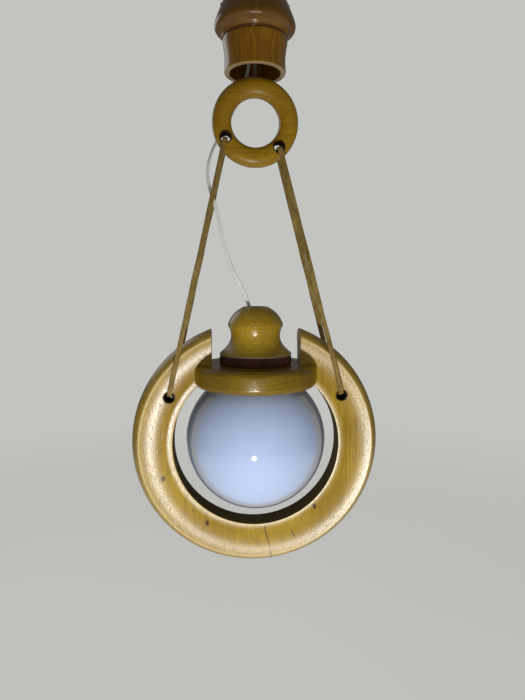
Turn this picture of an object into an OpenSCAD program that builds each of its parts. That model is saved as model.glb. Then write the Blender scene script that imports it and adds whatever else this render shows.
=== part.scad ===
// Hanging ceiling lamp: an opal globe under a turned wooden disc, inside a big dished
// wooden ring that hangs by two leather thongs from a small ring below a ceiling cup.
// Millimetres, +Z up, the front faces -Y, and the origin is where the lamp meets the ceiling.

/* [Globe] */
// Outside diameter of the opal glass globe
globe_d = 160; // [150:1:164]
// Diameter over the thread of the globe's neck
neck_d = 84.5; // [80:0.5:86]
// Thickness of the glass
glass_t = 3; // [2:0.5:4]

/* [Big ring] */
// Greatest diameter of the big ring, at its rounded side
ring_d = 284; // [278:1:292]
// Diameter of the sharp edge round each dished face
ring_face_d = 266; // [258:1:270]
// Diameter of the opening
ring_bore_d = 190; // [184:1:194]
// Thickness at the sharp edges
ring_t = 36; // [32:1:40]
// Width of the gap cut through the top
ring_gap = 100; // [90:1:104]
// Distance of the thong holes from the ring's centre
ring_hole_r = 113; // [108:1:118]
// Angle of the thong holes above the ring's centre
ring_hole_angle = 30; // [26:1:34]

/* [Turned disc] */
// Diameter of the disc that carries the globe
disc_d = 140; // [134:1:146]
// Thickness of the disc
disc_t = 25; // [23:1:28]
// Radius of its rounded edges
disc_round = 7; // [3:1:10]

/* [Lower cup] */
// Height of the small cup above the disc
low_cup_h = 55; // [50:1:60]
// Radius of the cup's skirt
low_cup_r = 41; // [40:0.5:43]

/* [Hanging ring] */
// Outside diameter of the small ring
loop_d = 94; // [88:1:100]
// Radial width of the small ring's section
loop_w = 21; // [19:1:23]
// Thickness of the small ring's section
loop_t = 20; // [18:1:22]
// Turn of the small ring, because one thong is the longer
loop_roll = 9; // [0:1:12]

/* [Thongs] */
// Width of each leather thong
thong_w = 5.5; // [4:0.5:6.5]
// Thickness of each leather thong
thong_t = 3; // [2:0.5:3.5]
// Radius of the holes that the thongs pass through
thong_hole_r = 5.4; // [5:0.1:6]
// Distance from the small ring's centre down to the big ring's centre
thong_drop = 356.5; // [320:0.5:400]

/* [Ceiling cup] */
// Height of the turned cup against the ceiling
cup_h = 75; // [70:1:80]
// Radius of the hole bored through the cup
cup_bore_r = 27.5; // [26.5:0.5:28]

/* [Flex] */
// Diameter of the white twin flex
flex_d = 4.2; // [3.6:0.2:4.4]

/* [Hidden] */
$fn = 96;

// Heights
loop_gap = 3;
loop_z = -(cup_h + loop_gap + loop_d / 2);
ring_z = loop_z - thong_drop;
globe_z = ring_z + 5.5;
disc_top_z = globe_z + 87;
disc_low_z = disc_top_z - disc_t;
nut_h = 10;
low_cup_z = disc_top_z + nut_h;
spigot_top_z = low_cup_z + 6;

// Big ring section: a rolled lip round the opening, a dished face and a rounded side
ring_r = ring_d / 2;
face_r = ring_face_d / 2;
bore_r = ring_bore_d / 2;
lip_w = 7.5;
lip_r = 29;
dish_r = 111;
dish_v = 13.6;
edge_v = ring_t / 2;
dish_k = (edge_v - dish_v) / pow(face_r - dish_r, 2);
side_sag = ring_r - face_r;
side_r = (side_sag * side_sag + edge_v * edge_v) / (2 * side_sag);
side_angle = asin(edge_v / side_r);
function dish(u) = dish_v + dish_k * pow(u - dish_r, 2);

// Thong ends, as [x, z]
ring_hole = [
    ring_hole_r * cos(ring_hole_angle),
    ring_z + ring_hole_r * sin(ring_hole_angle)
];
knot_r = 6;
thong_sway = 10;
loop_mid_r = (loop_d - loop_w) / 2;
loop_hole_angle = 37;
function loop_hole(side) = [
    side * loop_mid_r * cos(loop_hole_angle + side * loop_roll),
    loop_z - loop_mid_r * sin(loop_hole_angle + side * loop_roll)
];

// Hook, link and screw eye, hanging one in another
hook_wire = 2.5;
hook_r = 8;
hook_z = -26;
hook_low_z = hook_z - hook_r;
link_wire = 1.75;
hang_gap = 0.4;
link_r = 5.5;
link_top_z = hook_low_z + hook_wire + link_wire + hang_gap;
link_h = 19;
link_low_z = link_top_z - link_h;
eye_r = 6;
eye_z = link_low_z + 2 * link_wire + hang_gap - eye_r;
eye_shank = 14;

// Ceiling bracket
bracket_l = 50;
bracket_w = 16;
bracket_t = 2;
bracket_ear = 14;
screw_pitch = 30;
screw_hole_r = 2.25;
side_screw_z = -8;
side_screw_r = 1.9;
screw_head_r = 3.6;
screw_head_x = 34.6;

// Gallery and lamp holder, as heights above the globe's centre
neck_r = neck_d / 2;
socket_r = neck_r + 0.35;
gallery_low = 69.5;
gallery_top = 83;
gallery_r = 47.2;
spigot_r = 36;
boss_r = 29.5;
nipple_r = 5;
plate_low = 98;

// The flex, from the terminals down behind the small ring and into the lower cup
FLEX = [
    [-4, 19, -20.2], [-4, 19, -32], [-5, 17.5, -46], [-6.5, 16, -60], [-9, 15.5, -74],
    [-13, 15, -87], [-18, 14.5, -99], [-23.5, 14, -110], [-29.5, 14, -120],
    [-35.5, 14, -130], [-41, 13, -140], [-45.6, 11.5, -149], [-49.4, 9.5, -159],
    [-51.8, 7.5, -170], [-52.4, 6, -181], [-50.8, 5, -191], [-48, 4, -201],
    [-44.8, 3, -211], [-41.5, 2.5, -223], [-39, 2, -236], [-36.5, 1.5, -249],
    [-33, 1, -262], [-28.5, 0.5, -275], [-23, 0, -288], [-17, 0, -300],
    [-11.6, 0, -311], [-7.8, 0, -321], [-4.8, 0, -331], [-2.2, 0, -340], [-0.6, 0, -348],
    [0, 0, -356], [0, 0, -376], [0, 0, -395.5]
];

// Points on an arc, from angle a0 to a1
function arc(c, r, a0, a1, n = 12) = [
    for (i = [0:n]) c + r * [cos(a0 + (a1 - a0) * i / n), sin(a0 + (a1 - a0) * i / n)]
];
function flip(points) = [for (i = [len(points) - 1:-1:0]) [points[i].x, -points[i].y]];
function unit(v) = v / norm(v);

// A round solid about Z from a half outline of [radius, height] points
module turned(points) {
    rotate_extrude() polygon(points);
}

// A straight round bar between heights z0 and z1
module bar(r, z0, z1) {
    translate([0, 0, z0]) cylinder(r = r, h = z1 - z0);
}

// A round tube between heights z0 and z1
module tube(r_out, r_in, z0, z1) {
    difference() {
        bar(r_out, z0, z1);
        bar(r_in, z0 - 1, z1 + 1);
    }
}

// A bar along Y through the point [x, z]
module bar_y(p, r, l) {
    translate([p.x, l / 2, p.y]) rotate([90, 0, 0]) cylinder(r = r, h = l);
}

// A bar along X
module bar_x(r, x0, x1, z) {
    translate([x0, 0, z]) rotate([0, 90, 0]) cylinder(r = r, h = x1 - x0);
}

// ---- Ceiling fixing ----

module ceiling_bracket() {
    ear_x = bracket_l / 2 - bracket_t;
    color("silver") difference() {
        union() {
            translate([-bracket_l / 2, -bracket_w / 2, -bracket_t])
                cube([bracket_l, bracket_w, bracket_t]);
            for (s = [-1, 1])
                translate([s * (ear_x + bracket_t / 2) - bracket_t / 2, -bracket_w / 2, -bracket_ear])
                    cube([bracket_t, bracket_w, bracket_ear - bracket_t + 1]);
        }
        bar(hook_wire, -bracket_t - 1, 1);
        for (s = [-1, 1])
            translate([s * screw_pitch / 2, 0, 0]) bar(screw_hole_r, -bracket_t - 1, 1);
        bar_x(side_screw_r, -bracket_l, bracket_l, side_screw_z);
    }
}

module ceiling_hook() {
    color("silver") {
        bar(hook_wire, hook_z + hook_r, -0.2);
        translate([0, 0, hook_z]) rotate([90, 0, 0])
            rotate([0, 0, -180]) rotate_extrude(angle = 270)
                translate([hook_r, 0]) circle(r = hook_wire, $fn = 32);
    }
}

module hook_nut() {
    color("silver") difference() {
        translate([0, 0, -bracket_t - 4]) cylinder(r = 5, h = 4, $fn = 6);
        bar(hook_wire, -10, 0);
    }
}

module ceiling_cup() {
    outside = [
        [31, 0], [33.5, -3], [37, -11], [41, -21], [43, -26], [43.4, -28.5], [42.6, -31],
        [40, -33.5], [36.8, -36], [34.8, -38.5], [33.8, -40.5], [34.6, -42], [34.8, -43.5],
        [33.4, -52], [32.8, -60], [32.8, -67], [33.3, -73.5], [32.6, -cup_h]
    ];
    color("saddlebrown") difference() {
        turned(concat(outside, [[cup_bore_r, -cup_h], [cup_bore_r, 0]]));
        bar_x(side_screw_r + 0.2, -60, 60, side_screw_z);
        for (turn = [0, 180]) rotate([0, 0, turn])
            bar_x(screw_head_r + 0.3, screw_head_x, 60, side_screw_z);
    }
}

module cup_screws() {
    color("goldenrod") for (s = [0, 180]) rotate([0, 0, s]) difference() {
        union() {
            bar_x(side_screw_r, bracket_l / 2 - 5, screw_head_x + 1, side_screw_z);
            bar_x(screw_head_r, screw_head_x, screw_head_x + 2, side_screw_z);
        }
        translate([screw_head_x + 1.2, -0.5, side_screw_z - 5]) cube([2, 1, 10]);
    }
}

// Two-pole terminal block behind the hook
block_y = 19;
block_top_z = -6;
block_h = 14;
pole_x = 5;

module at_poles() {
    for (s = [-1, 1]) translate([s * pole_x, block_y, 0]) children();
}

module terminal_block() {
    color("ivory") difference() {
        translate([-10, block_y - 5, block_top_z - block_h]) cube([20, 10, block_h]);
        at_poles() bar(2.6, block_top_z - block_h - 1, block_top_z + 1);
        for (z = [-3.5, -10.5]) translate([0, 0, block_top_z + z]) at_poles()
            rotate([90, 0, 0]) cylinder(r = 1.6, h = 6);
    }
}

module terminal_inserts() {
    color("gold") at_poles() difference() {
        bar(2.5, block_top_z - 13, block_top_z - 1);
        bar(1.4, block_top_z - 14, block_top_z);
        for (z = [-3.5, -10.5]) translate([0, 0, block_top_z + z])
            rotate([90, 0, 0]) cylinder(r = 1.3, h = 6);
    }
}

module terminal_screws() {
    color("silver") for (z = [-3.5, -10.5]) translate([0, 0, block_top_z + z]) at_poles()
        translate([0, -1.6, 0]) rotate([90, 0, 0]) cylinder(r = 1.2, h = 3);
}

// ---- Hanging pieces ----

module hanging_link() {
    mid = link_h / 2 - link_r;
    color("silver") translate([0, 0, (link_top_z + link_low_z) / 2]) rotate([0, 0, 90]) {
        for (turn = [0, 180]) rotate([0, turn, 0]) {
            translate([0, 0, mid]) rotate([90, 0, 0])
                rotate_extrude(angle = 180) translate([link_r, 0]) circle(r = link_wire, $fn = 24);
            translate([link_r, 0, -mid]) cylinder(r = link_wire, h = 2 * mid, $fn = 24);
        }
    }
}

module ring_eye() {
    wire = link_wire;
    color("silver") {
        translate([0, 0, eye_z]) rotate([90, 0, 0]) rotate_extrude()
            translate([eye_r, 0]) circle(r = wire, $fn = 24);
        bar(wire, loop_z + loop_d / 2 - eye_shank, eye_z - eye_r);
    }
}

module hanging_ring() {
    half_w = loop_w / 2;
    half_t = loop_t / 2;
    power = 2 / 2.4;
    section = [
        for (a = [0:10:350]) [
            loop_mid_r + half_w * sign(cos(a)) * pow(abs(cos(a)), power),
            half_t * sign(sin(a)) * pow(abs(sin(a)), power)
        ]
    ];
    color("goldenrod") difference() {
        translate([0, 0, loop_z]) rotate([90, 0, 0]) turned(section);
        for (s = [-1, 1]) bar_y(loop_hole(s), thong_hole_r, 2 * loop_t);
        bar(link_wire, loop_z + loop_d / 2 - eye_shank - 0.2, loop_z + loop_d / 2 + 1);
    }
}

// Moves every side of a closed clockwise outline outwards by d, keeping sharp corners
function grown(points, d) = let (n = len(points)) [
    for (i = [0:n - 1]) let (
        a = unit(points[i] - points[(i + n - 1) % n]),
        b = unit(points[(i + 1) % n] - points[i]),
        normal_a = [-a.y, a.x],
        middle = unit(normal_a + [-b.y, b.x])
    ) points[i] + middle * d / (middle * normal_a)
];

// One closed loop of leather through a hole of each ring, knotted behind the big ring
module thong(side) {
    top = loop_hole(side);
    low = [side * ring_hole.x, ring_hole.y];
    run = low - top;
    length = norm(run);
    lean = atan2(run.x, -run.y);
    half = thong_t / 2;
    in_hole = sqrt(pow(thong_hole_r - 0.3, 2) - pow(thong_w / 2, 2)) - half;
    inward = (low - [0, ring_z]) * run / length;
    to_edge = inward + sqrt(inward * inward - ring_hole_r * ring_hole_r + face_r * face_r);
    front = [
        [in_hole - loop_t / 2 * sin(thong_sway), loop_t / 2 + 1 + half],
        [length - to_edge, edge_v + 0.8 + half],
        [length - in_hole, dish(ring_hole_r) + 0.5 + half]
    ];
    path = concat(front, flip(front));
    color("tan") translate([top.x, 0, top.y]) rotate([0, -lean, 0]) {
        rotate([0, 90, 0]) translate([0, 0, -thong_w / 2]) linear_extrude(thong_w) difference() {
            polygon(grown(path, half));
            polygon(grown(path, -half));
        }
        translate([0, dish(ring_hole_r) + knot_r, in_hole - length])
            scale([1.1, 0.85, 1]) sphere(r = knot_r, $fn = 32);
    }
}

module left_thong() { thong(-1); }
module right_thong() { thong(1); }

// Position between two route points, along a smooth curve through all of them
function smooth(p, q, r, s, t) = 0.5 * (
    2 * q + t * (r - p) + t * t * (2 * p - 5 * q + 4 * r - s) + t * t * t * (3 * q - p - 3 * r + s)
);
function route(points, steps) = let (last = len(points) - 1) concat([
    for (i = [0:last - 1], k = [0:steps - 1])
        smooth(points[max(i - 1, 0)], points[i], points[i + 1], points[min(i + 2, last)], k / steps)
], [points[last]]);

module swept_tube(points, r, sides = 8) {
    last = len(points) - 1;
    rings = [
        for (i = [0:last]) let (
            along = unit(points[min(i + 1, last)] - points[max(i - 1, 0)]),
            across = unit(cross(along, [0, 1, 0])),
            up = cross(across, along)
        ) for (k = [0:sides - 1])
            points[i] + r * (cos(360 * k / sides) * across + sin(360 * k / sides) * up)
    ];
    walls = [
        for (i = [0:last - 1], k = [0:sides - 1]) let (n = (k + 1) % sides)
            [i * sides + k, i * sides + n, (i + 1) * sides + n, (i + 1) * sides + k]
    ];
    start = [for (k = [sides - 1:-1:0]) k];
    end = [for (k = [0:sides - 1]) last * sides + k];
    polyhedron(points = rings, faces = concat([start], walls, [end]), convexity = 6);
}

module flex() {
    color("white") swept_tube(route(FLEX, 2), flex_d / 2);
}

// ---- Big ring and disc ----

module big_ring() {
    lip_c = [bore_r + lip_w, dish(bore_r + lip_w) - lip_r];
    dish_n = 12;
    front = concat(
        arc(lip_c, lip_r, 90 + asin(lip_w / lip_r), 90, 6),
        [for (i = [1:dish_n]) let (u = lip_c.x + (face_r - lip_c.x) * i / dish_n) [u, dish(u)]],
        arc([ring_r - side_r, 0], side_r, side_angle, 0, 10)
    );
    color("goldenrod") difference() {
        translate([0, 0, ring_z]) rotate([90, 0, 0]) turned(concat(front, flip(front)));
        translate([-ring_gap / 2, -ring_t, ring_z + 40]) cube([ring_gap, 2 * ring_t, ring_d]);
        turned(disc_outline(0.2));
        for (s = [-1, 1]) bar_y([s * ring_hole.x, ring_hole.y], thong_hole_r, 2 * ring_t);
        at_dowels() bar(dowel_r, disc_top_z - 1, disc_top_z + dowel_up);
    }
}

dowel_r = 3;
dowel_up = 14;
dowel_down = 11;

module at_dowels() {
    for (x = [-61, 61], y = [-9, 9]) translate([x, y, 0]) children();
}

module disc_dowels() {
    color("burlywood") at_dowels() bar(dowel_r, disc_top_z - dowel_down, disc_top_z + dowel_up);
}

// Half outline of the disc with its rounded edges, and room all round it
function disc_outline(room) = let (c = disc_d / 2 - disc_round, r = disc_round + room) concat(
    [[0, disc_low_z - room]],
    arc([c, disc_low_z + disc_round], r, -90, 0, 8),
    arc([c, disc_top_z - disc_round], r, 0, 90, 8),
    [[0, disc_top_z + room]]
);

module turned_disc() {
    color("olive") difference() {
        turned(disc_outline(0));
        bar(spigot_r + 0.3, disc_low_z, disc_top_z + 1);
        bar(gallery_r + 0.2, disc_low_z, globe_z + gallery_top);
        bar(52, disc_low_z - 1, globe_z + gallery_low);
        at_dowels() bar(dowel_r, disc_top_z - dowel_down, disc_top_z + 1);
    }
}

// ---- Gallery that holds the globe, clamped through the disc ----

module gallery() {
    color("saddlebrown") translate([0, 0, globe_z]) difference() {
        union() {
            bar(gallery_r, gallery_low, gallery_top);
            bar(spigot_r, gallery_top - 1, low_cup_z - globe_z);
            bar(boss_r, 90, spigot_top_z - globe_z);
        }
        bar(socket_r, gallery_low - 1, 80.5);
        bar(26, 80, plate_low);
        bar(nipple_r + 0.1, plate_low - 1, 110);
    }
}

module gallery_nut() {
    ribs = 60;
    color("maroon") translate([0, 0, disc_top_z]) difference() {
        tube(41, spigot_r + 0.3, 0, nut_h);
        for (i = [0:ribs - 1]) rotate([0, 0, 360 * i / ribs])
            translate([41.4, 0, 1.5]) cylinder(r = 1.1, h = nut_h - 3, $fn = 16);
    }
}

module lower_cup() {
    h = low_cup_h;
    outside = [
        [low_cup_r - 1, 0], [low_cup_r, 1], [low_cup_r, 2.2], [37.4, 5.5], [34.2, 8.5], [31.6, 11.5],
        [29.6, 15], [28.4, 18.5], [27.9, 22], [28.2, 26], [29.3, 30], [31.1, 33], [31.3, 34],
        [30.7, 36.5], [29.4, 40], [27.4, 43.5], [24.8, 47], [21.2, 50.4], [17, 53], [14, 54.6], [12.8, h]
    ];
    inside = [
        [12.5, h - 1], [12.5, h - 3], [19, h - 9], [22.5, h - 14], [23.5, 34], [23.5, 12],
        [boss_r + 0.3, 8], [boss_r + 0.3, 0]
    ];
    color("goldenrod") translate([0, 0, low_cup_z]) turned(concat(outside, inside));
}

// ---- Nipple, grip, lamp holder and bulb ----

module nipple() {
    color("gold") translate([0, 0, globe_z]) tube(nipple_r, 3.6, 87, 113);
}

module nipple_washer() {
    color("silver") translate([0, 0, spigot_top_z]) tube(9, nipple_r + 0.1, 0, 1.5);
}

module nipple_nut() {
    color("gold") translate([0, 0, spigot_top_z + 1.5]) difference() {
        cylinder(r = 8, h = 4, $fn = 6);
        bar(nipple_r, -1, 5);
    }
}

module cable_grip() {
    color("ivory") translate([0, 0, globe_z]) difference() {
        turned([[0, 109], [8, 109], [8, 117], [6, 122], [4.5, 123], [0, 123]]);
        bar(nipple_r, 108, 113.2);
        bar(flex_d / 2 + 0.2, 112, 124);
    }
}

module holder_cap() {
    outer = [[nipple_r, plate_low], [10, plate_low], [18, 94], [20, 88], [20, 72]];
    inner = [[18, 72], [18, 87], [16.5, 92], [nipple_r, 94.5]];
    color("saddlebrown") translate([0, 0, globe_z]) turned(concat(outer, inner));
}

module holder_body() {
    color("saddlebrown") translate([0, 0, globe_z])
        turned([[16, 40], [19, 40], [19.5, 42], [19.5, 71.8], [17.6, 71.8], [17.6, 44], [16, 43]]);
}

module holder_insert() {
    color("white") translate([0, 0, globe_z]) difference() {
        union() {
            bar(17.3, 68, 72);
            bar(14, 71, 80);
        }
        for (s = [-1, 1]) translate([s * 9, 0, 0]) bar(2, 67, 81);
    }
}

module holder_thread() {
    color("gold") translate([0, 0, globe_z]) tube(14.8, 14, 45, 67.8);
}

module holder_contacts() {
    color("gold") translate([0, 0, globe_z]) {
        translate([-3, -3, 66.4]) cube([6, 6, 1.4]);
        for (s = [-1, 1]) translate([s * 9, 0, 0]) bar(1.8, 68, 82);
    }
}

module bulb_cap() {
    ridges = [for (i = [0:5]) each [[13.4, 44 + 3.2 * i], [12.7, 45.6 + 3.2 * i]]];
    color("silver") translate([0, 0, globe_z])
        turned(concat([[0, 41.5], [13, 41.5]], ridges, [[9, 63.5], [4.5, 66], [0, 66]]));
}

module bulb_glass() {
    ball_z = -12;
    ball_r = 30;
    color("white") translate([0, 0, globe_z]) turned(concat(
        arc([0, ball_z], ball_r, -90, 38, 16),
        [[19.5, 15], [16, 24], [14, 33], [12.8, 41.3], [0, 41.3]]
    ));
}

// ---- Globe ----

module neck_gasket() {
    color("black") translate([0, 0, globe_z]) tube(gallery_r - 0.4, socket_r + 0.3, 67.9, 69.3);
}

module globe() {
    r = globe_d / 2;
    body_r = neck_r - 0.65;
    in_r = r - glass_t;
    neck_in = body_r - glass_t;
    thread = [for (z = [71.5, 75.5]) each [[body_r, z - 1.2], [neck_r, z], [body_r, z + 1.2]]];
    color("aliceblue") translate([0, 0, globe_z]) turned(concat(
        arc([0, 0], r, -90, acos(body_r / r), 24),
        thread,
        [[body_r, 79.5], [neck_in, 79.5]],
        arc([0, 0], in_r, acos(neck_in / in_r), -90, 24)
    ));
}

ceiling_bracket();
ceiling_hook();
hook_nut();
ceiling_cup();
cup_screws();
terminal_block();
terminal_inserts();
terminal_screws();
hanging_link();
ring_eye();
hanging_ring();
flex();
left_thong();
right_thong();
big_ring();
turned_disc();
disc_dowels();
gallery();
gallery_nut();
lower_cup();
nipple();
nipple_washer();
nipple_nut();
cable_grip();
holder_cap();
holder_body();
holder_insert();
holder_thread();
holder_contacts();
bulb_cap();
bulb_glass();
neck_gasket();
globe();
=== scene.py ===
"""Blender look of the ceiling pendant lamp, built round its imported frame.

Metres, +Z up, the front faces -Y and the ceiling is at Z = 0. Outlines are written in millimetres.
"""

import math

import bmesh
import bpy
from mathutils import Matrix, Vector, noise


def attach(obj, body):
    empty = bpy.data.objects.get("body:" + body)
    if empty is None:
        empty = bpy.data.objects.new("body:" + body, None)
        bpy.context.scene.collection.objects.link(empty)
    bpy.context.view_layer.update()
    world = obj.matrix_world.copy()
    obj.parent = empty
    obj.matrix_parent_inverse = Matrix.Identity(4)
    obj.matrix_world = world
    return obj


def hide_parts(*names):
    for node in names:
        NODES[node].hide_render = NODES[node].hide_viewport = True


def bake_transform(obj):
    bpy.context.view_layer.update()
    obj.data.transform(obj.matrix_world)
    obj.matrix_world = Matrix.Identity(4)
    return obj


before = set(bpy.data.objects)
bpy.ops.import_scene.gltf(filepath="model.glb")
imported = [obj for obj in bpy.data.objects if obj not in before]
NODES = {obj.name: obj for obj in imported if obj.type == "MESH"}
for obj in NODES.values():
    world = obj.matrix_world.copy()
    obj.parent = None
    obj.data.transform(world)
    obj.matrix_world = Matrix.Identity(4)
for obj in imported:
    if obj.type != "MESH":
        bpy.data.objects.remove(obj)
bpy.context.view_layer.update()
MM = 0.001

# Sizes in millimetres, as in the CAD model, but for the flex (there a round tube of 4.2)
# and the laces (there 5.5 by 3)
LOOP_Z = -125.0
LOOP_MID_R = 36.5
RING_Z = -481.5
RING_BORE_R = 95.0
RING_FACE_R = 133.0
RING_R = 142.0
GLOBE_Z = -476.0
DISC_TOP = -389.0
DISC_LOW = -414.0
DISC_MID_R = 63.0
DISC_EDGE_R = 7.0
PASSAGE_R = 36.3
CUP_LOW = -379.0
LOOP_HOLES = [(-32.23, -142.14), (25.36, -151.26)]
RING_HOLES = [(-97.86, -425.0), (97.86, -425.0)]
RING_HOLE_FROM_CENTRE = 113
HOLE_R = 5.4
FLEX_W = 4.6
FLEX_T = 2.4
LACE_W = 5.4
LACE_T = 2.8

# The flex's route, the same points as in the CAD model
FLEX = [
    (-4, 19, -20.2), (-4, 19, -32), (-5, 17.5, -46), (-6.5, 16, -60), (-9, 15.5, -74),
    (-13, 15, -87), (-18, 14.5, -99), (-23.5, 14, -110), (-29.5, 14, -120),
    (-35.5, 14, -130), (-41, 13, -140), (-45.6, 11.5, -149), (-49.4, 9.5, -159),
    (-51.8, 7.5, -170), (-52.4, 6, -181), (-50.8, 5, -191), (-48, 4, -201),
    (-44.8, 3, -211), (-41.5, 2.5, -223), (-39, 2, -236), (-36.5, 1.5, -249),
    (-33, 1, -262), (-28.5, 0.5, -275), (-23, 0, -288), (-17, 0, -300),
    (-11.6, 0, -311), (-7.8, 0, -321), (-4.8, 0, -331), (-2.2, 0, -340), (-0.6, 0, -348),
    (0, 0, -356), (0, 0, -376), (0, 0, -395.5),
]


# ---- Camera, floor and light ----

CAMERA_PLACE = (-0.0337, -0.597, -0.3003)
CAMERA_LENS = 27.05
LOOKS_DOWN = 7
LOOKS_RIGHT = 4
MIDDLE = (0.0, 0.0, -0.35)
PALE = (0.98, 0.98, 0.95, 1)
AMBIENT = 0.135
BACKDROP = 0.56


def add_object(name, data):
    made = bpy.data.objects.new(name, data)
    bpy.context.scene.collection.objects.link(made)
    return made


def add_camera():
    data = bpy.data.cameras.new("camera")
    data.lens = CAMERA_LENS
    data.clip_start = 0.01
    camera = add_object("camera", data)
    camera.location = CAMERA_PLACE
    camera.rotation_euler = (math.radians(90 - LOOKS_DOWN), 0, math.radians(-LOOKS_RIGHT))
    bpy.context.scene.camera = camera


def add_area_light(name, place, target, size, power, reflected=True):
    """A round light that the camera never sees, and that shows in gloss only if it is reflected."""
    data = bpy.data.lights.new(name, "AREA")
    data.shape = "DISK"
    data.size = size
    data.energy = power
    light = add_object(name, data)
    light.location = place
    aim = Vector(target) - Vector(place)
    light.rotation_euler = aim.to_track_quat("-Z", "Y").to_euler()
    light.visible_camera = False
    light.visible_glossy = reflected


def add_floor():
    """A wide pale floor that fades into the pale studio at its edge."""
    floor_z, radius, steps = -1.35, 4.0, 96
    angles = [2 * math.pi * i / steps for i in range(steps)]
    rim = [(radius * math.cos(a), radius * math.sin(a), floor_z) for a in angles]
    mesh = bpy.data.meshes.new("floor")
    mesh.from_pydata(rim, [], [tuple(range(steps))])
    floor = add_object("floor", mesh)
    graph = Graph("pale_floor")
    cloudy = graph.noise(3.0, 2)
    graph.set("Base Color", graph.mix(cloudy, (0.66, 0.65, 0.62), (0.70, 0.69, 0.66)))
    graph.set("Roughness", 0.9)
    graph.set("Emission Color", (0.95, 0.95, 0.92, 1))
    graph.set("Emission Strength", 0.40)
    fade_from, fade_to = 1.6, 3.8
    graph.set("Alpha", graph.fade(from_axis(graph, (0, 0, 0), (1, 1, 0)), fade_from, fade_to, 1.0, 0.0))
    graph.give(floor)


def add_studio():
    """Even light with a small key light low in front, shown with plain sRGB contrast."""
    bpy.context.scene.view_settings.view_transform = "Standard"
    world = bpy.data.worlds.new("studio")
    bpy.context.scene.world = world
    world.use_nodes = True
    nodes, links = world.node_tree.nodes, world.node_tree.links
    soft = nodes["Background"]
    soft.inputs["Color"].default_value = PALE
    soft.inputs["Strength"].default_value = AMBIENT
    backdrop = nodes.new("ShaderNodeBackground")
    backdrop.inputs["Color"].default_value = PALE
    backdrop.inputs["Strength"].default_value = BACKDROP
    path = nodes.new("ShaderNodeLightPath")
    choice = nodes.new("ShaderNodeMixShader")
    links.new(path.outputs["Is Camera Ray"], choice.inputs[0])
    links.new(soft.outputs[0], choice.inputs[1])
    links.new(backdrop.outputs[0], choice.inputs[2])
    links.new(choice.outputs[0], nodes["World Output"].inputs["Surface"])
    add_area_light("key", (-0.04, -0.44, -0.59), (0.0, 0.0, -0.42), 0.034, 1.48)
    add_area_light("fill", (0.6, -1.0, 0.3), MIDDLE, 1.2, 2.2, reflected=False)
    add_area_light("back", (-1.2, 1.2, 0.45), MIDDLE, 1.2, 4.0)


# ---- Materials ----

class Graph:
    """A material's node tree, with one short call for each kind of node."""

    def __init__(self, name):
        self.material = bpy.data.materials.new(name)
        self.material.use_nodes = True
        self.tree = self.material.node_tree
        self.shader = self.tree.nodes["Principled BSDF"]
        self.place = self.add("ShaderNodeTexCoord").outputs["Object"]

    def add(self, kind, **settings):
        made = self.tree.nodes.new(kind)
        for key, value in settings.items():
            setattr(made, key, value)
        return made

    def join(self, value, socket):
        if isinstance(value, bpy.types.NodeSocket):
            self.tree.links.new(value, socket)
        else:
            socket.default_value = value

    def set(self, name, value):
        if isinstance(value, tuple) and len(value) == 3 and self.shader.inputs[name].type == "RGBA":
            value = (*value, 1)
        self.join(value, self.shader.inputs[name])

    def math(self, operation, a, b=0.0):
        made = self.add("ShaderNodeMath", operation=operation)
        self.join(a, made.inputs[0])
        self.join(b, made.inputs[1])
        return made.outputs[0]

    def vector(self, operation, a, b=(0, 0, 0)):
        made = self.add("ShaderNodeVectorMath", operation=operation)
        self.join(a, made.inputs[0])
        self.join(b, made.inputs[1])
        return made.outputs["Value" if operation in ("LENGTH", "DOT_PRODUCT") else "Vector"]

    def plus(self, a, b):
        return self.math("ADD", a, b)

    def times(self, a, b):
        return self.math("MULTIPLY", a, b)

    def stretched(self, *factors):
        """The place in the object with each axis scaled. A small factor draws a pattern out."""
        return self.vector("MULTIPLY", self.place, factors)

    def coordinate(self, axis):
        parts = self.add("ShaderNodeSeparateXYZ")
        self.join(self.place, parts.inputs[0])
        return parts.outputs[axis.upper()]

    def noise(self, scale, detail=3.0, where=None, roughness=0.5):
        made = self.add("ShaderNodeTexNoise")
        self.join(self.place if where is None else where, made.inputs["Vector"])
        made.inputs["Scale"].default_value = scale
        made.inputs["Detail"].default_value = detail
        made.inputs["Roughness"].default_value = roughness
        return made.outputs["Fac"]

    def fade(self, value, low, high, start=0.0, end=1.0):
        """Goes smoothly from start to end as value goes from low to high."""
        made = self.add("ShaderNodeMapRange", clamp=True, interpolation_type="SMOOTHSTEP")
        for socket, number in zip(made.inputs[:5], (value, low, high, start, end)):
            self.join(number, socket)
        return made.outputs[0]

    def mix(self, amount, a, b):
        made = self.add("ShaderNodeMix", data_type="RGBA")
        colours = [s for s in made.inputs if s.type == "RGBA"]
        self.join(amount, made.inputs["Factor"])
        for value, socket in zip((a, b), colours):
            if isinstance(value, tuple):
                value = (*value, 1)
            self.join(value, socket)
        return [s for s in made.outputs if s.type == "RGBA"][0]

    def bump(self, height, distance, strength):
        made = self.add("ShaderNodeBump")
        made.inputs["Distance"].default_value = distance
        made.inputs["Strength"].default_value = strength
        self.join(height, made.inputs["Height"])
        self.join(made.outputs["Normal"], self.shader.inputs["Normal"])
        self.join(made.outputs["Normal"], self.shader.inputs["Coat Normal"])

    def give(self, *objects):
        for o in objects:
            o.data.materials.clear()
            o.data.materials.append(self.material)


def from_axis(graph, centre, keep):
    """Distance in metres from the line through centre, with keep 0 along the line and 1 across it."""
    offset = graph.vector("SUBTRACT", graph.place, tuple(c * MM for c in centre))
    return graph.vector("LENGTH", graph.vector("MULTIPLY", offset, keep))


def nearest(graph, distances):
    found = distances[0]
    for other in distances[1:]:
        found = graph.math("MINIMUM", found, other)
    return found


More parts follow.
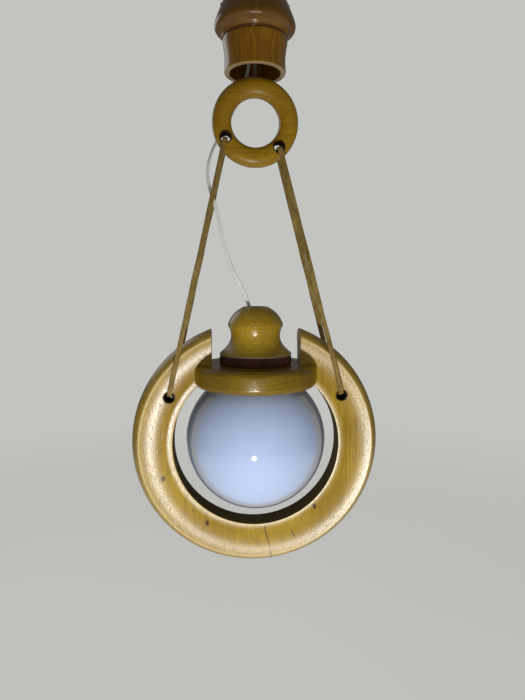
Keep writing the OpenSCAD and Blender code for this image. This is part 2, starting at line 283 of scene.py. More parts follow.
# The darker colour of the holes' walls and rims
HOLE_DARK = (0.030, 0.012, 0.006)


def wood(name, tones, grain, pith, ring_mm=3.5, holes=(), wobble=4.0, lines=0.35, speck=0.5,
         roughness=0.34, gloss=0.6, coat_roughness=0.2, turned=None, marks_depth=0.3,
         marks_scale=1300.0, fleck=0.1, sheen_tint=(1.0, 0.85, 0.55), bare=None, extra=None):
    """Varnished solid wood. tones are linear colours from light to dark, grain is "x" or "z", and pith
    is the point in millimetres that the growth rings go round. lines and speck are the strength of the
    growth rings and of the fine pits in the varnish, and fleck is how much its roughness varies from
    spot to spot. turned is a point in millimetres and the axis ("y" or "z") that the piece was turned
    about, for its fine tool marks. sheen_tint colours the wood's own shine, below the varnish's.
    bare gives a mask of where the wood has no varnish, and extra paints over the plain grain."""
    graph = Graph(name)
    light, middle, dark = tones
    late = growth_rings(graph, grain, pith, ring_mm, wobble, lines)
    streaks = graph.noise(420.0, 5.0, graph.stretched(*drawn_out(grain, 0.04)), 0.6)
    pores = graph.fade(graph.noise(1100.0, 2.0, graph.stretched(*drawn_out(grain, 0.12))), 0.60, 0.72)
    clouds = graph.noise(16.0, 4.0, roughness=0.6)
    colour = graph.mix(graph.fade(clouds, 0.32, 0.68), light, middle)
    colour = graph.mix(late, colour, dark)
    colour = graph.mix(graph.fade(streaks, 0.42, 0.72, 0.0, 0.45), colour, dark)
    colour = graph.mix(graph.times(pores, 0.5), colour, tuple(c * 0.4 for c in dark))
    if extra:
        colour = extra(graph, colour)

    pits = graph.noise(1050.0, 2.0, graph.stretched(*drawn_out(grain, 0.4)))
    height = graph.plus(graph.times(streaks, 0.3), graph.times(pores, -0.6))
    height = graph.plus(height, graph.times(pits, 1.1))
    if turned:
        marks = tool_marks(graph, *turned, marks_scale)
        height = graph.plus(height, graph.times(marks, marks_depth))

    spots = graph.noise(1500.0, 1.0)
    rough = graph.fade(spots, 0.36, 0.64, roughness - fleck, roughness + fleck)
    colour = graph.mix(graph.fade(spots, 0.55, 0.75, 0.0, fleck * 2.5), colour, dark)
    matt = bare(graph) if bare else 0.0
    if holes:
        # the holes' walls and rims drawn darker
        hole_dark = dark_hole_rims(graph, holes)
        colour = graph.mix(hole_dark, colour, HOLE_DARK)
        matt = graph.math("MAXIMUM", hole_dark, matt)
    coat = gloss
    if holes or bare:
        rough = graph.plus(rough, graph.times(matt, 0.5))
        coat = graph.math("SUBTRACT", gloss, graph.times(matt, gloss))
    graph.set("Base Color", colour)
    graph.set("Roughness", rough)
    graph.set("Coat Weight", coat)
    graph.set("Coat Roughness", coat_roughness)
    graph.set("IOR", 1.5)
    graph.set("Specular IOR Level", 0.25)
    graph.set("Specular Tint", sheen_tint)
    graph.bump(height, 0.00022, speck)
    return graph


def drawn_out(grain, factor):
    """Scales that draw a pattern out along the grain."""
    return tuple(factor if axis == grain else 1.0 for axis in "xyz")


def growth_rings(graph, grain, pith, ring_mm, wobble, lines):
    """How much late wood shows: wandering rings about the pith, stronger in some places."""
    across = graph.vector("SUBTRACT", graph.place, tuple(c * MM for c in pith))
    across = graph.vector("MULTIPLY", across, drawn_out(grain, 0.05))
    drift = graph.noise(14.0, 4.0, graph.stretched(*drawn_out(grain, 0.12)), 0.6)
    depth = graph.plus(graph.vector("LENGTH", across), graph.times(drift, wobble * MM * 2))
    rings = graph.math("FRACT", graph.math("DIVIDE", depth, ring_mm * MM))
    late = graph.times(graph.fade(rings, 0.1, 0.9), graph.fade(rings, 1.0, 0.92))
    strength = graph.fade(graph.noise(30.0, 3.0), 0.3, 0.65, lines * 0.25, lines)
    return graph.times(late, strength)


def dark_hole_rims(graph, holes):
    """A mask of the holes' walls and uneven rims along Y, which are drawn darker."""
    off = nearest(graph, [from_axis(graph, (x, 0, z), (1, 0, 1)) for x, z in holes])
    return graph.fade(graph.plus(off, graph.times(graph.noise(300.0), 0.0016)), 0.0088, 0.0068)


def tool_marks(graph, centre, axis, scale):
    """Fine rings left by turning, about an axis through centre."""
    keep_across = {"y": (1, 0, 1), "z": (1, 1, 0)}[axis]
    where = graph.add("ShaderNodeCombineXYZ")
    graph.join(from_axis(graph, centre, keep_across), where.inputs[0])
    graph.join(graph.coordinate(axis), where.inputs[1])
    where = graph.vector("ADD", where.outputs[0], graph.stretched(0.03, 0.03, 0.03))
    return graph.noise(scale, 3.0, where, 0.7)


def metal(name, colour, tarnish, roughness):
    """Worn metal: tarnish gathers in patches, with fine scratches."""
    graph = Graph(name)
    patches = graph.fade(graph.noise(160.0, 5.0, roughness=0.65), 0.42, 0.68)
    scratches = graph.noise(900.0, 2.0, graph.stretched(1, 1, 0.08))
    graph.set("Base Color", graph.mix(patches, colour, tarnish))
    graph.set("Metallic", 1.0)
    rough = graph.plus(graph.times(patches, 0.22), roughness)
    graph.set("Roughness", graph.plus(rough, graph.times(scratches, 0.08)))
    graph.bump(scratches, 0.00006, 0.4)
    return graph


def moulded(name, colour, shade, roughness):
    """Moulded plastic, ceramic or rubber, with a faint mottle and a fine grain."""
    graph = Graph(name)
    mottle = graph.fade(graph.noise(55.0, 4.0), 0.35, 0.7)
    graph.set("Base Color", graph.mix(mottle, colour, shade))
    speck = graph.noise(500.0, 3.0)
    graph.set("Roughness", graph.plus(graph.times(speck, 0.2), roughness - 0.08))
    graph.bump(speck, 0.00008, 0.35)
    return graph


# ---- Shapes ----

SHARP = 32
SOFT_SHARP = 50


def smooth_line(points, steps):
    """A Catmull-Rom curve through the points."""
    points = [Vector(p) for p in points]
    out = []
    for i in range(len(points) - 1):
        p = points[max(i - 1, 0)]
        q, r = points[i], points[i + 1]
        s = points[min(i + 2, len(points) - 1)]
        for k in range(steps):
            t = k / steps
            out.append(0.5 * (2 * q + t * (r - p) + t * t * (2 * p - 5 * q + 4 * r - s)
                              + t * t * t * (3 * q - p - 3 * r + s)))
    out.append(points[-1])
    return out


def arc(centre, radius, start, end, steps):
    """Points on an arc in the plane, with angles in degrees."""
    angles = [math.radians(start + (end - start) * i / steps) for i in range(steps + 1)]
    return [Vector((centre[0] + radius * math.cos(a), centre[1] + radius * math.sin(a))) for a in angles]


def curve_at(start, middle, end, steps):
    """Points on a curve from start to end that bends towards middle."""
    return [(1 - t) ** 2 * start + 2 * t * (1 - t) * middle + t * t * end
            for t in (k / steps for k in range(steps + 1))]


def filleted(points, radius):
    """Rounds every corner sharper than about 25 degrees in a closed outline."""
    points = [Vector(p) for p in points]
    count = len(points)
    gentle = 0.44
    out = []
    for i, q in enumerate(points):
        p, r = points[i - 1], points[(i + 1) % count]
        a, b = p - q, r - q
        if a.length < 1e-6 or b.length < 1e-6:
            continue
        turn = math.pi - a.angle(b)
        reach = min(radius * math.tan(turn / 2), 0.45 * a.length, 0.45 * b.length)
        if turn < gentle or reach < 1e-4:
            out.append(q)
            continue
        out += curve_at(q + a.normalized() * reach, q, q + b.normalized() * reach, 4)
    return out


def mesh_object(name, vertices, faces, sharp=SHARP):
    """A mesh with smooth shading, and hard edges where it turns by more than sharp degrees."""
    mesh = bpy.data.meshes.new(name)
    mesh.from_pydata([tuple(v) for v in vertices], [], faces)
    work = bmesh.new()
    work.from_mesh(mesh)
    bmesh.ops.remove_doubles(work, verts=work.verts, dist=1e-7)
    bmesh.ops.recalc_face_normals(work, faces=work.faces)
    work.to_mesh(mesh)
    work.free()
    mesh.shade_smooth()
    mesh.set_sharp_from_angle(angle=math.radians(sharp))
    return add_object(name, mesh)


def lathe(name, outline, segments=160, centre=(0, 0, 0), axis="z", sharp=SHARP):
    """A closed round solid from a closed outline of (radius, height) points in millimetres."""
    count = len(outline)
    vertices = []
    faces = []
    for i in range(segments):
        angle = 2 * math.pi * i / segments
        for radius, height in outline:
            x, y, z = radius * math.cos(angle), radius * math.sin(angle), height
            if axis == "y":
                x, y, z = x, height, y
            vertices.append(Vector((x + centre[0], y + centre[1], z + centre[2])) * MM)
        for k in range(count):
            a, b = i * count + k, i * count + (k + 1) % count
            c, d = (i + 1) % segments * count + (k + 1) % count, (i + 1) % segments * count + k
            faces.append((a, b, c, d))
    return mesh_object(name, vertices, faces, sharp)


def cut(obj, *cutters):
    """Takes the cutters out of obj and removes them."""
    for cutter in cutters:
        modifier = obj.modifiers.new("cut", "BOOLEAN")
        modifier.operation = "DIFFERENCE"
        modifier.solver = "EXACT"
        modifier.object = cutter
    graph = bpy.context.evaluated_depsgraph_get()
    made = bpy.data.meshes.new_from_object(obj.evaluated_get(graph))
    obj.modifiers.clear()
    obj.data = made
    for cutter in cutters:
        bpy.data.objects.remove(cutter)
    made.shade_smooth()
    made.set_sharp_from_angle(angle=math.radians(SHARP))
    return obj


def block(name, low, high):
    """A cutter with corners low and high, in millimetres."""
    (x0, y0, z0), (x1, y1, z1) = low, high
    corners = [(x, y, z) for x in (x0, x1) for y in (y0, y1) for z in (z0, z1)]
    faces = [(0, 1, 3, 2), (4, 6, 7, 5), (0, 4, 5, 1), (2, 3, 7, 6), (0, 2, 6, 4), (1, 5, 7, 3)]
    return mesh_object(name, [Vector(c) * MM for c in corners], faces)


def sweep(name, path, section, sideways, closed=False, turn=None):
    """A solid along path, with the section's first coordinate lying near the sideways direction.
    turn gives the twist in radians at each part of the way, from 0 to 1."""
    count, last = len(section), len(path) - 1
    vertices = []
    faces = []
    for i, point in enumerate(path):
        if closed:
            along = (path[(i + 1) % len(path)] - path[i - 1]).normalized()
        else:
            along = (path[min(i + 1, last)] - path[max(i - 1, 0)]).normalized()
        side = Vector(sideways)
        side = (side - along * side.dot(along)).normalized()
        if turn:
            side = Matrix.Rotation(turn(i / last), 3, along) @ side
        up = along.cross(side)
        for a, b in section:
            vertices.append((point + side * a + up * b) * MM)
    rows = len(path) if closed else last
    for i in range(rows):
        j = (i + 1) % len(path)
        for k in range(count):
            n = (k + 1) % count
            faces.append((i * count + k, i * count + n, j * count + n, j * count + k))
    if not closed:
        faces.append(tuple(range(count)))
        faces.append(tuple(last * count + k for k in range(count)))
    return mesh_object(name, vertices, faces, SOFT_SHARP)


def keep(obj, body, slot_name, *nodes):
    """The piece rides on the body and stands for the CAD nodes, which it hides. slot_name is not used.
    """
    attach(obj, body)
    if nodes:
        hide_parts(*nodes)
    return obj


# ---- Flex ----

def twin_section():
    """Two round cores side by side with a groove between them."""
    radius = FLEX_T / 2
    centre = FLEX_W / 2 - radius
    groove = 3
    reach = math.degrees(math.acos(-centre / radius)) - groove
    right = arc((centre, 0), radius, -reach, reach, 14)
    left = arc((-centre, 0), radius, 180 - reach, 180 + reach, 14)
    return [tuple(p) for p in right + left]


def add_flex():
    path = smooth_line(FLEX, 12)
    flex = sweep("flex_sheath", path, twin_section(), (1, 0, 0),
                 turn=lambda t: 0.85 + 0.2 * math.sin(6.0 * t))
    graph = Graph("white_pvc")
    grime = graph.fade(graph.noise(35.0, 4.0), 0.45, 0.75)
    graph.set("Base Color", graph.mix(grime, (0.88, 0.88, 0.83), (0.72, 0.71, 0.63)))
    graph.set("Roughness", graph.plus(graph.times(grime, 0.15), 0.42))
    graph.bump(graph.noise(150.0, 2.0), 0.00005, 0.3)
    graph.give(flex)
    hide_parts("flex")
    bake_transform(flex)


# ---- Wooden pieces ----

def add_ceiling_cup():
    bore_r, low = 27.5, -75
    bell = smooth_line([(31, 0), (33.4, -3), (37, -11), (40.8, -20), (42.7, -25), (43.3, -28.3),
                        (42.9, -30.6)], 5)
    under = smooth_line([(42.9, -30.6), (41.4, -32.6), (38.8, -34.6), (36.4, -36.6), (34.7, -39)], 5)[1:]
    body = smooth_line([(34.2, -41.2), (34.7, -43.5), (34.0, -48), (33.1, -54), (32.6, -61),
                        (32.7, -68), (33.2, -73)], 5)
    groove = arc((34.0, -40.1), 0.9, 100, 260, 5)
    outline = bell + under + groove + body + [(32.6, low), (bore_r, low), (bore_r, 0)]
    cup = lathe("ceiling_cup_wood", filleted(outline, 0.8))
    screw_hole = [(0, -3), (2.1, -3), (2.1, 9.6), (3.9, 9.6), (3.9, 20), (0, 20)]
    for side in (-1, 1):
        hole = lathe("side_hole", screw_hole, 32)
        hole.rotation_euler = (0, math.radians(90 * side), 0)
        hole.location = (side * 0.025, 0, -0.008)
        cut(cup, hole)
    keep(cup, "ceiling", "dark_wood", "ceiling_cup")
    tones = ((0.29, 0.128, 0.0), (0.21, 0.086, 0.0), (0.085, 0.026, 0.0))

    def painted_shade_and_pale_mouth(graph, colour):
        """Painted shade: a darker bell and a dark groove. Also a pale band round the mouth."""
        height = graph.coordinate("z")
        bell_shade = graph.fade(height, -0.042, -0.030, 0.0, 0.5)
        in_groove = graph.fade(graph.math("ABSOLUTE", graph.plus(height, 0.040)), 0.0022, 0.0006)
        rim = graph.fade(height, -0.0738, -0.0747)
        # painted shade: the bell drawn darker than the body
        colour = graph.mix(bell_shade, colour, (0.05, 0.016, 0.0))
        # painted shade in the groove
        colour = graph.mix(graph.times(in_groove, 0.75), colour, (0.06, 0.018, 0.004))
        return graph.mix(rim, colour, (0.38, 0.27, 0.14))

    graph = wood("amber_dark_wood", tones, "z", (18, -75, 0), 3.4, lines=0.5, speck=0.25, roughness=0.3,
                 gloss=0.55, coat_roughness=0.08, turned=((0, 0, 0), "z"), extra=painted_shade_and_pale_mouth)
    graph.give(cup)


def add_hanging_ring():
    half_w, half_t, power, steps = 10.5, 10.0, 2 / 2.3, 64
    section = []
    for i in range(steps):
        a = 2 * math.pi * i / steps
        c, s = math.cos(a), math.sin(a)
        section.append((LOOP_MID_R + half_w * math.copysign(abs(c) ** power, c),
                        half_t * math.copysign(abs(s) ** power, s)))
    ring = lathe("hanging_ring_wood", section, 160, (0, 0, LOOP_Z), "y")
    cut(ring, *[hole_cutter(x, z, half_t) for x, z in LOOP_HOLES])
    eye_hole = lathe("eye_hole", [(0, -93), (1.9, -93), (1.9, -70), (0, -70)], 24)
    cut(ring, eye_hole)
    keep(ring, "hanger", "amber_wood", "hanging_ring")
    tones = ((0.375, 0.208, 0.001), (0.30, 0.157, 0.001), (0.16, 0.076, 0.001))
    graph = wood("mustard_wood", tones, "x", (0, 75, -190), 6.0, LOOP_HOLES, lines=0.07, speck=0.45,
                 roughness=0.40, gloss=0.5, coat_roughness=0.34, turned=((0, 0, LOOP_Z), "y"),
                 fleck=0.14)
    graph.give(ring)


def hole_cutter(x, z, half):
    """A hole along Y with a slightly eased rim at half millimetres each way."""
    outline = [(0, -half - 6), (HOLE_R + 1.2, -half - 6), (HOLE_R + 0.9, -half), (HOLE_R, -half + 1.2),
               (HOLE_R, half - 1.2), (HOLE_R + 0.9, half), (HOLE_R + 1.2, half + 6), (0, half + 6)]
    return lathe("hole", outline, 40, (x, 0, z), "y")


def dish(u):
    """Half the big ring's thickness at u from its centre, least in the middle of its face."""
    thin, rise, half_w, middle = 13.6, 4.4, 22, 111
    return thin + rise / half_w ** 2 * (u - middle) ** 2


def ring_outline():
    """Closed outline of the big ring's section, as (distance from centre, y)."""
    lip_w, lip_r, steps = 7.5, 29.0, 28
    start = 90 + math.degrees(math.asin(lip_w / lip_r))
    lip = arc((RING_BORE_R + lip_w, dish(RING_BORE_R + lip_w) - lip_r), lip_r, start, 90, 10)
    face_w = RING_FACE_R - RING_BORE_R - lip_w
    across = [RING_BORE_R + lip_w + face_w * i / steps for i in range(1, steps)]
    face = [Vector((u, dish(u))) for u in across]
    sag, edge = RING_R - RING_FACE_R, 18.0
    side_r = (sag * sag + edge * edge) / (2 * sag)
    side_a = math.degrees(math.asin(edge / side_r))
    side = arc((RING_R - side_r, 0), side_r, side_a, -side_a, 40)
    front = lip + face
    back = [Vector((p.x, -p.y)) for p in reversed(front)]
    return filleted(front + side + back, 0.8)


def add_big_ring():
    ring = lathe("big_ring_wood", ring_outline(), 288, (0, 0, RING_Z), "y")
    gap_half_w = 50
    gap = block("gap", (-gap_half_w, -40, RING_Z + 40), (gap_half_w, 40, RING_Z + 200))
    slot_cut = lathe("slot", [(0, DISC_LOW - 0.1)] + disc_rim(0.1) + [(0, DISC_TOP + 0.1)], 192)
    cut(ring, gap, slot_cut, *[hole_cutter(x, z, 13.8) for x, z in RING_HOLES])
    keep(ring, "lamp", "ring_wood", "big_ring")
    tones = ((0.44, 0.28, 0.016), (0.34, 0.20, 0.006), (0.20, 0.105, 0.002))
    graph = wood("golden_wood", tones, "z", (40, 110, 0), 7.0, RING_HOLES, 6.0, lines=0.22, speck=0.36,
                 roughness=0.42, gloss=0.7, coat_roughness=0.27, turned=((0, 0, RING_Z), "y"),
                 fleck=0.10, sheen_tint=(1.0, 0.94, 0.80), bare=ring_bore, extra=ring_marks)
    graph.give(ring)


def line_mark(graph, start, end, width):
    """A mask for a thin wavy line on the ring's face, from start to end as (x, z) in millimetres."""
    (x0, z0), (x1, z1) = start, end
    length = math.hypot(x1 - x0, z1 - z0)
    along = ((x1 - x0) / length, 0, (z1 - z0) / length)
    side = (-along[2], 0, along[0])
    offset = graph.vector("SUBTRACT", graph.place, (x0 * MM, 0, z0 * MM))
    wave = graph.times(graph.math("SUBTRACT", graph.noise(120.0), 0.5), 0.004)
    away = graph.math("ABSOLUTE", graph.plus(graph.vector("DOT_PRODUCT", offset, side), wave))
    run = graph.vector("DOT_PRODUCT", offset, along)
    taper = 3
    after_start = graph.fade(run, 0.0, taper * MM)
    before_end = graph.fade(run, length * MM, (length - taper) * MM)
    on_line = graph.fade(away, width * MM, width * 0.3 * MM)
    return graph.times(on_line, graph.times(after_start, before_end))


def ring_bore(graph):
    """A mask of the wall of the big ring's opening."""
    return graph.fade(from_axis(graph, (0, 0, RING_Z), (1, 0, 1)), 0.0955, 0.0951)


def ring_marks(graph, colour):
    """Pale edges, partly wear and partly a painted highlight, painted shade on the bore, two fine cracks
    low on the ring and three small knots.
    """
    away = from_axis(graph, (0, 0, RING_Z), (1, 0, 1))
    fray = graph.times(graph.math("SUBTRACT", graph.noise(260.0, 4.0), 0.5), 0.004)
    away = graph.plus(away, fray)
    lip = graph.fade(away, 0.0980, 0.0950)
    edge = graph.times(graph.fade(away, 0.1285, 0.1325), graph.fade(away, 0.1355, 0.134))
    # the pale lip and outer edge: partly wear, partly a painted highlight
    wear_and_highlight = graph.times(graph.math("MAXIMUM", lip, edge), 0.65)
    colour = graph.mix(wear_and_highlight, colour, (0.62, 0.44, 0.15))
    # painted shade: the wall of the ring's opening drawn dark
    colour = graph.mix(graph.times(ring_bore(graph), 0.92), colour, (0.036, 0.021, 0.004))
    cracks = [((9, -577), (19, -622), 1.0), ((40, -583), (46, -596), 0.7)]
    for start, end, width in cracks:
        mask = graph.times(line_mark(graph, start, end, width), 0.95)
        colour = graph.mix(mask, colour, (0.035, 0.015, 0.004))
    knots = [(-107, -519), (68, -557), (-57, -574)]
    for x, z in knots:
        off = graph.plus(from_axis(graph, (x, 0, z), (1, 0, 0.7)), fray)
        colour = graph.mix(graph.fade(off, 0.0030, 0.0012), colour, (0.045, 0.018, 0.004))
    return colour


def disc_rim(room):
    """The disc's rounded rim as (radius, height), grown by room."""
    low = (DISC_MID_R, DISC_LOW + DISC_EDGE_R)
    high = (DISC_MID_R, DISC_TOP - DISC_EDGE_R)
    return arc(low, DISC_EDGE_R + room, -90, 0, 12) + arc(high, DISC_EDGE_R + room, 0, 90, 12)


def add_turned_disc():
    recess_r, seat_r, recess_z, seat_z = 52, 47.4, -406.5, -393
    outline = [(recess_r, DISC_LOW)] + disc_rim(0) + [(PASSAGE_R, DISC_TOP), (PASSAGE_R, seat_z)]
    outline += [(seat_r, seat_z), (seat_r, recess_z), (recess_r, recess_z)]
    disc = lathe("turned_disc_wood", filleted(outline, 0.5), 192)
    keep(disc, "lamp", "olive_wood", "turned_disc")
    tones = ((0.22, 0.135, 0.001), (0.165, 0.095, 0.001), (0.085, 0.045, 0.001))
    graph = wood("olive_wood", tones, "x", (0, -38, -470), 4.2, lines=0.35, speck=0.5, roughness=0.36,
                 gloss=0.6, coat_roughness=0.26, turned=((0, 0, 0), "z"), fleck=0.16)
    graph.give(disc)


def add_lower_cup():
    skirt = smooth_line([(41, 2.2), (39.2, 3.8), (37.2, 5.6), (34.2, 8.4), (31.6, 11.5), (29.6, 15),
                         (28.4, 18.5), (27.9, 22), (28.3, 26), (29.4, 30), (31.0, 33)], 4)
    dome = smooth_line([(31.4, 33.8), (30.9, 36.5), (29.4, 40), (27.4, 43.5), (24.6, 47), (21.2, 50.2),
                        (17, 53), (14, 54.6), (12.9, 55)], 4)
    inside = [(12.5, 54), (12.5, 52), (19, 46), (22.5, 41), (23.5, 34), (23.5, 12), (29.8, 8), (29.8, 0)]
    outline = [(40.0, 0), (41.0, 0.9)] + [tuple(p) for p in skirt + dome] + inside
    cup = lathe("lower_cup_wood", filleted([(r, CUP_LOW + h) for r, h in outline], 0.5), 160)
    keep(cup, "cup", "cup_wood", "lower_cup")
    tones = ((0.46, 0.30, 0.016), (0.36, 0.22, 0.007), (0.18, 0.095, 0.003))

    def pale_foot_and_shaded_mouth(graph, colour):
        """A pale band at the foot, and painted shade in the hole at the top."""
        pale_foot = graph.fade(graph.coordinate("z"), -0.3764, -0.3774)
        inner = graph.fade(from_axis(graph, (0, 0, 0), (1, 1, 0)), 0.0136, 0.0126)
        colour = graph.mix(pale_foot, colour, (0.52, 0.42, 0.26))
        # painted shade: the hole at the top drawn dark
        return graph.mix(inner, colour, (0.03, 0.015, 0.006))

    graph = wood("cup_wood", tones, "x", (0, 60, -460), 2.6, lines=0.3, speck=0.6, roughness=0.34,
                 gloss=0.7, coat_roughness=0.18, turned=((0, 0, 0), "z"), marks_depth=2.2,
                 marks_scale=420.0, fleck=0.18, extra=pale_foot_and_shaded_mouth)
    graph.give(cup)


# ---- Leather thongs ----

def strap_section(width, thick):
    """A flat strap's outline with rounded edges."""
    r = min(thick / 2, 0.8)
    w, t = width / 2 - r, thick / 2 - r
    corners = [((w, t), 0), ((-w, t), 90), ((-w, -t), 180), ((w, -t), 270)]
    return [tuple(p) for centre, start in corners for p in arc(centre, r, start, start + 90, 5)]


def bend_through(points):
    """A closed line with its corners rounded."""
    reach = 3.0
    out = []
    for i, q in enumerate(points):
        a, b = points[i - 1] - q, points[(i + 1) % len(points)] - q
        cut_a, cut_b = min(reach, 0.45 * a.length), min(reach, 0.45 * b.length)
        out += curve_at(q + a.normalized() * cut_a, q, q + b.normalized() * cut_b, 6)
    return out


def resampled(points, step):
    """The same closed line with points at most step apart."""
    out = []
    for a, b in zip(points, points[1:] + points[:1]):
        parts = max(1, math.ceil((b - a).length / step))
        out.extend(a.lerp(b, k / parts) for k in range(parts))
    return out


def add_thong(name, node, upper, lower, twist):
    """A closed loop of leather through the hole at upper and the one at lower, knotted at the back.
    twist picks how the loop wanders."""
    top, low = Vector((upper[0], 0, upper[1])), Vector((lower[0], 0, lower[1]))
    down = (low - top).normalized()
    across = Vector((0, 1, 0)).cross(down).normalized()
    length = (low - top).length
    path = [wandering(p, top, down, across, length, twist) for p in thong_line(top, low, down, length)]
    strap = sweep(name, path, strap_section(LACE_W, LACE_T), across, closed=True)
    knot_at = low + Vector((0, 19.5, 0)) + down * 1.0
    knot = sweep(name + "_knot", knot_line(knot_at, across, down), strap_section(3.4, 2.6), (0, 1, 0),
                 closed=True)
    ends = []
    for side in (-1, 1):
        falls = [(0, 0, 0), (side * 4, 1.5, -6), (side * 6.5, 1.0, -13), (side * 6, 0.0, -19)]
        tail = smooth_line([knot_at + Vector(f) for f in falls], 5)
        ends.append(sweep(name + "_end", tail, strap_section(4.6, 2.1), (1, 0.4, 0)))
    keep(merge(strap, knot, *ends), "lamp", "tan_leather", node)
    return strap


def thong_line(top, low, down, length):
    """The loop's middle line, round the inside of both holes and over the big ring's edge."""
    inward = (low - Vector((0, 0, RING_Z))).dot(down)
    to_edge = inward + math.sqrt(inward ** 2 - RING_HOLE_FROM_CENTRE ** 2 + RING_FACE_R ** 2)
    hole_top, hole_low = 1.4, length - 2.3
    front = [(hole_top, -9.5), (hole_top + 1.5, -12.9), (15, -13.4), (length - to_edge - 5, -19.5),
             (length - to_edge + 5, -19.3), (length - 8, -16.2), (hole_low, -14.4), (hole_low, -9)]
    loop = [top + down * s + Vector((0, y, 0)) for s, y in front]
    loop += [top + down * s + Vector((0, -y, 0)) for s, y in reversed(front)]
    return resampled(bend_through(loop), 4.0)


def wandering(point, top, down, across, length, twist):
    """The point moved a little sideways where the strap hangs free."""
    free_from, free_to, ease, most = 20, length - 60, 40, 0.6
    s = (point - top).dot(down)
    if not free_from < s < free_to:
        return point
    fade = min(1, (s - free_from) / ease, (free_to - s) / ease)
    push = noise.noise(Vector((s * 0.018, point.y, twist)))
    return point + across * push * most * fade


def knot_line(centre, across, down):
    """A closed overhand knot."""
    steps = 60
    out = []
    for i in range(steps):
        t = 2 * math.pi * i / steps
        out.append(centre + across * (math.sin(t) + 2 * math.sin(2 * t)) * 2.0
                   + down * (math.cos(t) - 2 * math.cos(2 * t)) * 1.9
                   + Vector((0, 1.8 * math.sin(3 * t), 0)))
    return out


def merge(first, *others):
    """Joins meshes that make one piece."""
    work = bmesh.new()
    for o in (first, *others):
        work.from_mesh(o.data)
    work.to_mesh(first.data)
    work.free()
    for o in others:
        bpy.data.objects.remove(o)
    first.data.shade_smooth()
    first.data.set_sharp_from_angle(angle=math.radians(SOFT_SHARP))
    return first


def add_thongs():
    left = add_thong("left_thong_lace", "left_thong", LOOP_HOLES[0], RING_HOLES[0], 1.3)
    right = add_thong("right_thong_lace", "right_thong", LOOP_HOLES[1], RING_HOLES[1], 4.1)
    graph = Graph("tan_lace")
    fibres = graph.noise(700.0, 4.0, graph.stretched(1, 1, 0.18), 0.6)
    wear = graph.fade(graph.noise(45.0, 4.0), 0.38, 0.68)
    dark_fibres = graph.times(graph.fade(fibres, 0.45, 0.7), 0.75)
    colour = graph.mix(wear, (0.23, 0.150, 0.036), (0.31, 0.215, 0.064))
    colour = graph.mix(dark_fibres, colour, (0.075, 0.038, 0.010))
    graph.set("Base Color", colour)
    graph.set("Roughness", 0.72)
    graph.set("Sheen Weight", 0.04)
    graph.set("Specular IOR Level", 0.2)
    graph.bump(fibres, 0.0003, 0.6)
    graph.give(left, right)


# ---- Globe and its fittings ----

def add_globe():
    neck, inner_r, outer_r, throat, top = 41.6, 77.0, 80.0, 38.6, 79.5
    thread_r, thread_half = 42.25, 1.4
    outer_top = math.degrees(math.acos(neck / outer_r))
    inner_top = math.degrees(math.acos(throat / inner_r))
    outline = arc((0, 0), outer_r, -90, outer_top, 96)
    for height in (71.5, 75.5):
        outline += [(neck, height - thread_half), (thread_r - 0.15, height - 0.6), (thread_r, height),
                    (thread_r - 0.15, height + 0.6), (neck, height + thread_half)]
    outline += [(neck, top - 0.5), (neck - 0.5, top), (throat, top)]
    outline += arc((0, 0), inner_r, inner_top, -90, 96)
    globe = lathe("globe_glass", outline, 160, (0, 0, GLOBE_Z), sharp=60)
    keep(globe, "globe", "opal_glass", "globe")
    graph = Graph("opal_glass")
    haze = graph.fade(graph.noise(18.0, 4.0), 0.4, 0.7)
    graph.set("Base Color", graph.mix(haze, (0.43, 0.53, 0.745), (0.41, 0.51, 0.725)))
    graph.set("Roughness", graph.plus(graph.times(haze, 0.02), 0.05))
    graph.set("IOR", 1.5)
    graph.set("Subsurface Weight", 0.25)
    graph.set("Subsurface Radius", (0.004, 0.005, 0.007))
    graph.set("Coat Weight", 1.0)
    graph.set("Coat Roughness", 0.03)
    graph.bump(graph.noise(30.0, 2.0), 0.0002, 0.15)
    graph.give(globe)


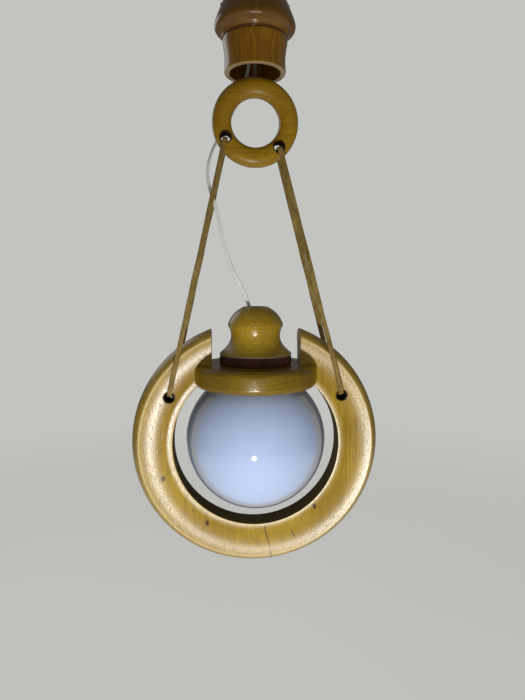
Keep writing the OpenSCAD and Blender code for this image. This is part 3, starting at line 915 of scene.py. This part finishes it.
def add_gallery_nut():
    """A ribbed collar. Each row is a height, how far it is set in and whether it is ribbed."""
    ribs, steps = 60, 8
    base, crown, plain, height = 39.9, 41.0, 40.1, 10.0
    rows = [(0.0, 0.4, False), (0.6, 0.0, False), (1.4, 0.0, True), (8.4, 0.0, True), (9.3, 0.0, False),
            (height, 0.5, False)]
    count = ribs * steps
    angles = [2 * math.pi * i / count for i in range(count)]
    waves = [0.5 - 0.5 * math.cos(2 * math.pi * i / steps) for i in range(count)]
    loops = [([(base + (crown - base) * w if ribbed else plain) - inset for w in waves], z)
             for z, inset, ribbed in rows]
    loops += [([PASSAGE_R] * count, z) for z in (height, 0.0)]
    vertices = []
    faces = []
    for r, (radii, z) in enumerate(loops):
        for i, (radius, a) in enumerate(zip(radii, angles)):
            vertices.append(Vector((radius * math.cos(a), radius * math.sin(a), DISC_TOP + z)) * MM)
            s, j = (r + 1) % len(loops), (i + 1) % count
            faces.append((r * count + i, r * count + j, s * count + j, s * count + i))
    nut = mesh_object("gallery_nut_ribbed", vertices, faces, 40)
    keep(nut, "lamp", "brown_moulding", "gallery_nut")
    moulded("brown_bakelite", (0.105, 0.026, 0.012), (0.055, 0.014, 0.007), 0.3).give(nut)


def finish_hidden_nodes():
    """Materials for the CAD nodes that stay."""
    steel = metal("zinc_steel", (0.60, 0.60, 0.58), (0.42, 0.41, 0.38), 0.34)
    brass = metal("old_brass", (0.66, 0.45, 0.15), (0.38, 0.24, 0.09), 0.30)
    tin = metal("bulb_cap_metal", (0.74, 0.73, 0.70), (0.55, 0.54, 0.50), 0.28)
    cream = moulded("cream_plastic", (0.78, 0.73, 0.60), (0.70, 0.64, 0.50), 0.36)
    bakelite = moulded("brown_moulding", (0.050, 0.016, 0.008), (0.026, 0.009, 0.005), 0.32)
    ceramic = moulded("white_ceramic", (0.80, 0.79, 0.75), (0.74, 0.72, 0.66), 0.2)
    rubber = moulded("black_rubber", (0.022, 0.022, 0.022), (0.035, 0.034, 0.032), 0.7)
    frost = moulded("bulb_frost", (0.84, 0.84, 0.82), (0.80, 0.80, 0.78), 0.5)
    beech = ((0.60, 0.44, 0.26), (0.52, 0.37, 0.20), (0.36, 0.24, 0.12))
    dowel = wood("bare_beech", beech, "z", (0, 0, 0), roughness=0.6, gloss=0.0)
    finishes = [
        (steel, ["ceiling_bracket", "ceiling_hook", "hook_nut", "terminal_screws", "hanging_link",
                 "ring_eye", "nipple_washer"]),
        (brass, ["cup_screws", "terminal_inserts", "nipple", "nipple_nut", "holder_thread",
                 "holder_contacts"]),
        (tin, ["bulb_cap"]),
        (cream, ["terminal_block", "cable_grip"]),
        (bakelite, ["gallery", "holder_cap", "holder_body"]),
        (ceramic, ["holder_insert"]),
        (rubber, ["neck_gasket"]),
        (frost, ["bulb_glass"]),
        (dowel, ["disc_dowels"]),
    ]
    for finish, names in finishes:
        finish.give(*[NODES[n] for n in names])


add_camera()
add_flex()
add_floor()
add_studio()
add_ceiling_cup()
add_hanging_ring()
add_big_ring()
add_turned_disc()
add_lower_cup()
add_thongs()
add_globe()
add_gallery_nut()
finish_hidden_nodes()
